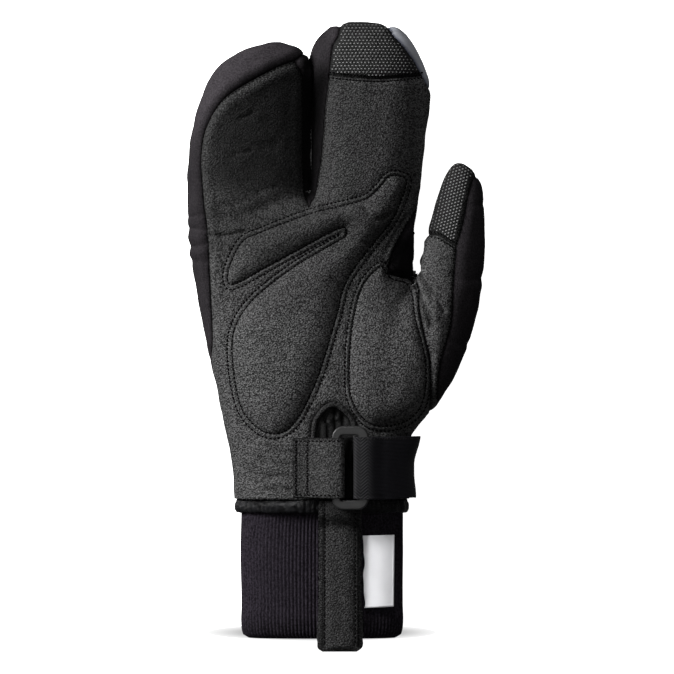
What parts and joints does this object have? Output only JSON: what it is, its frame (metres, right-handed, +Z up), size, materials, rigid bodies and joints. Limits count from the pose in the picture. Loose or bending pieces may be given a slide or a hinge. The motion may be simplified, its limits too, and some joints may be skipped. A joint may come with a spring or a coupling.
{
  "type": "lobster claw mitt",
  "caption": "Padded split-finger winter mitt for the right hand, with a separate thumb, sewn palm pads, a wrist strap, a ribbed knit cuff and a pull loop, lying palm up.",
  "frame": {"origin": "middle of the outline seen from above, on the surface that the mitt lies on", "axes": "+X to the thumb side, +Y from the cuff to the fingertips, +Z up through the palm"},
  "size_m": [0.1402, 0.295, 0.05],
  "materials": {
    "leather": "pebbled matt synthetic leather",
    "softshell": "fine matt woven softshell",
    "lining_cloth": "soft matt cloth",
    "dot_grip": "matt leather with small raised silicone dots",
    "weave_grip": "matt leather with small raised squares",
    "reflective": "smooth grey reflective cloth",
    "knit": "matt rib knit",
    "satin": "satin binding",
    "elastic": "matt woven elastic",
    "plastic": "satin moulded plastic",
    "label": "matt woven tape"
  },
  "bodies": {
    "root": {"palm_panel": "leather", "index_grip": "dot_grip", "reflective_tip": "reflective", "cleft_gusset": "softshell", "crotch_gusset": "softshell", "back_panel": "softshell", "thumb_panel": "leather", "thumb_grip": "weave_grip", "thumb_back": "softshell", "palm_pad": "leather", "thumb_pad": "leather", "wrist_gusset": "lining_cloth", "notch_piping": "satin", "hem_binding": "satin", "rib_cuff": "knit", "strap_ring": "plastic", "strap_tab": "leather", "elastic_band": "elastic", "pull_loop": "leather", "blank_label": "label"}
  },
  "joints": []
}
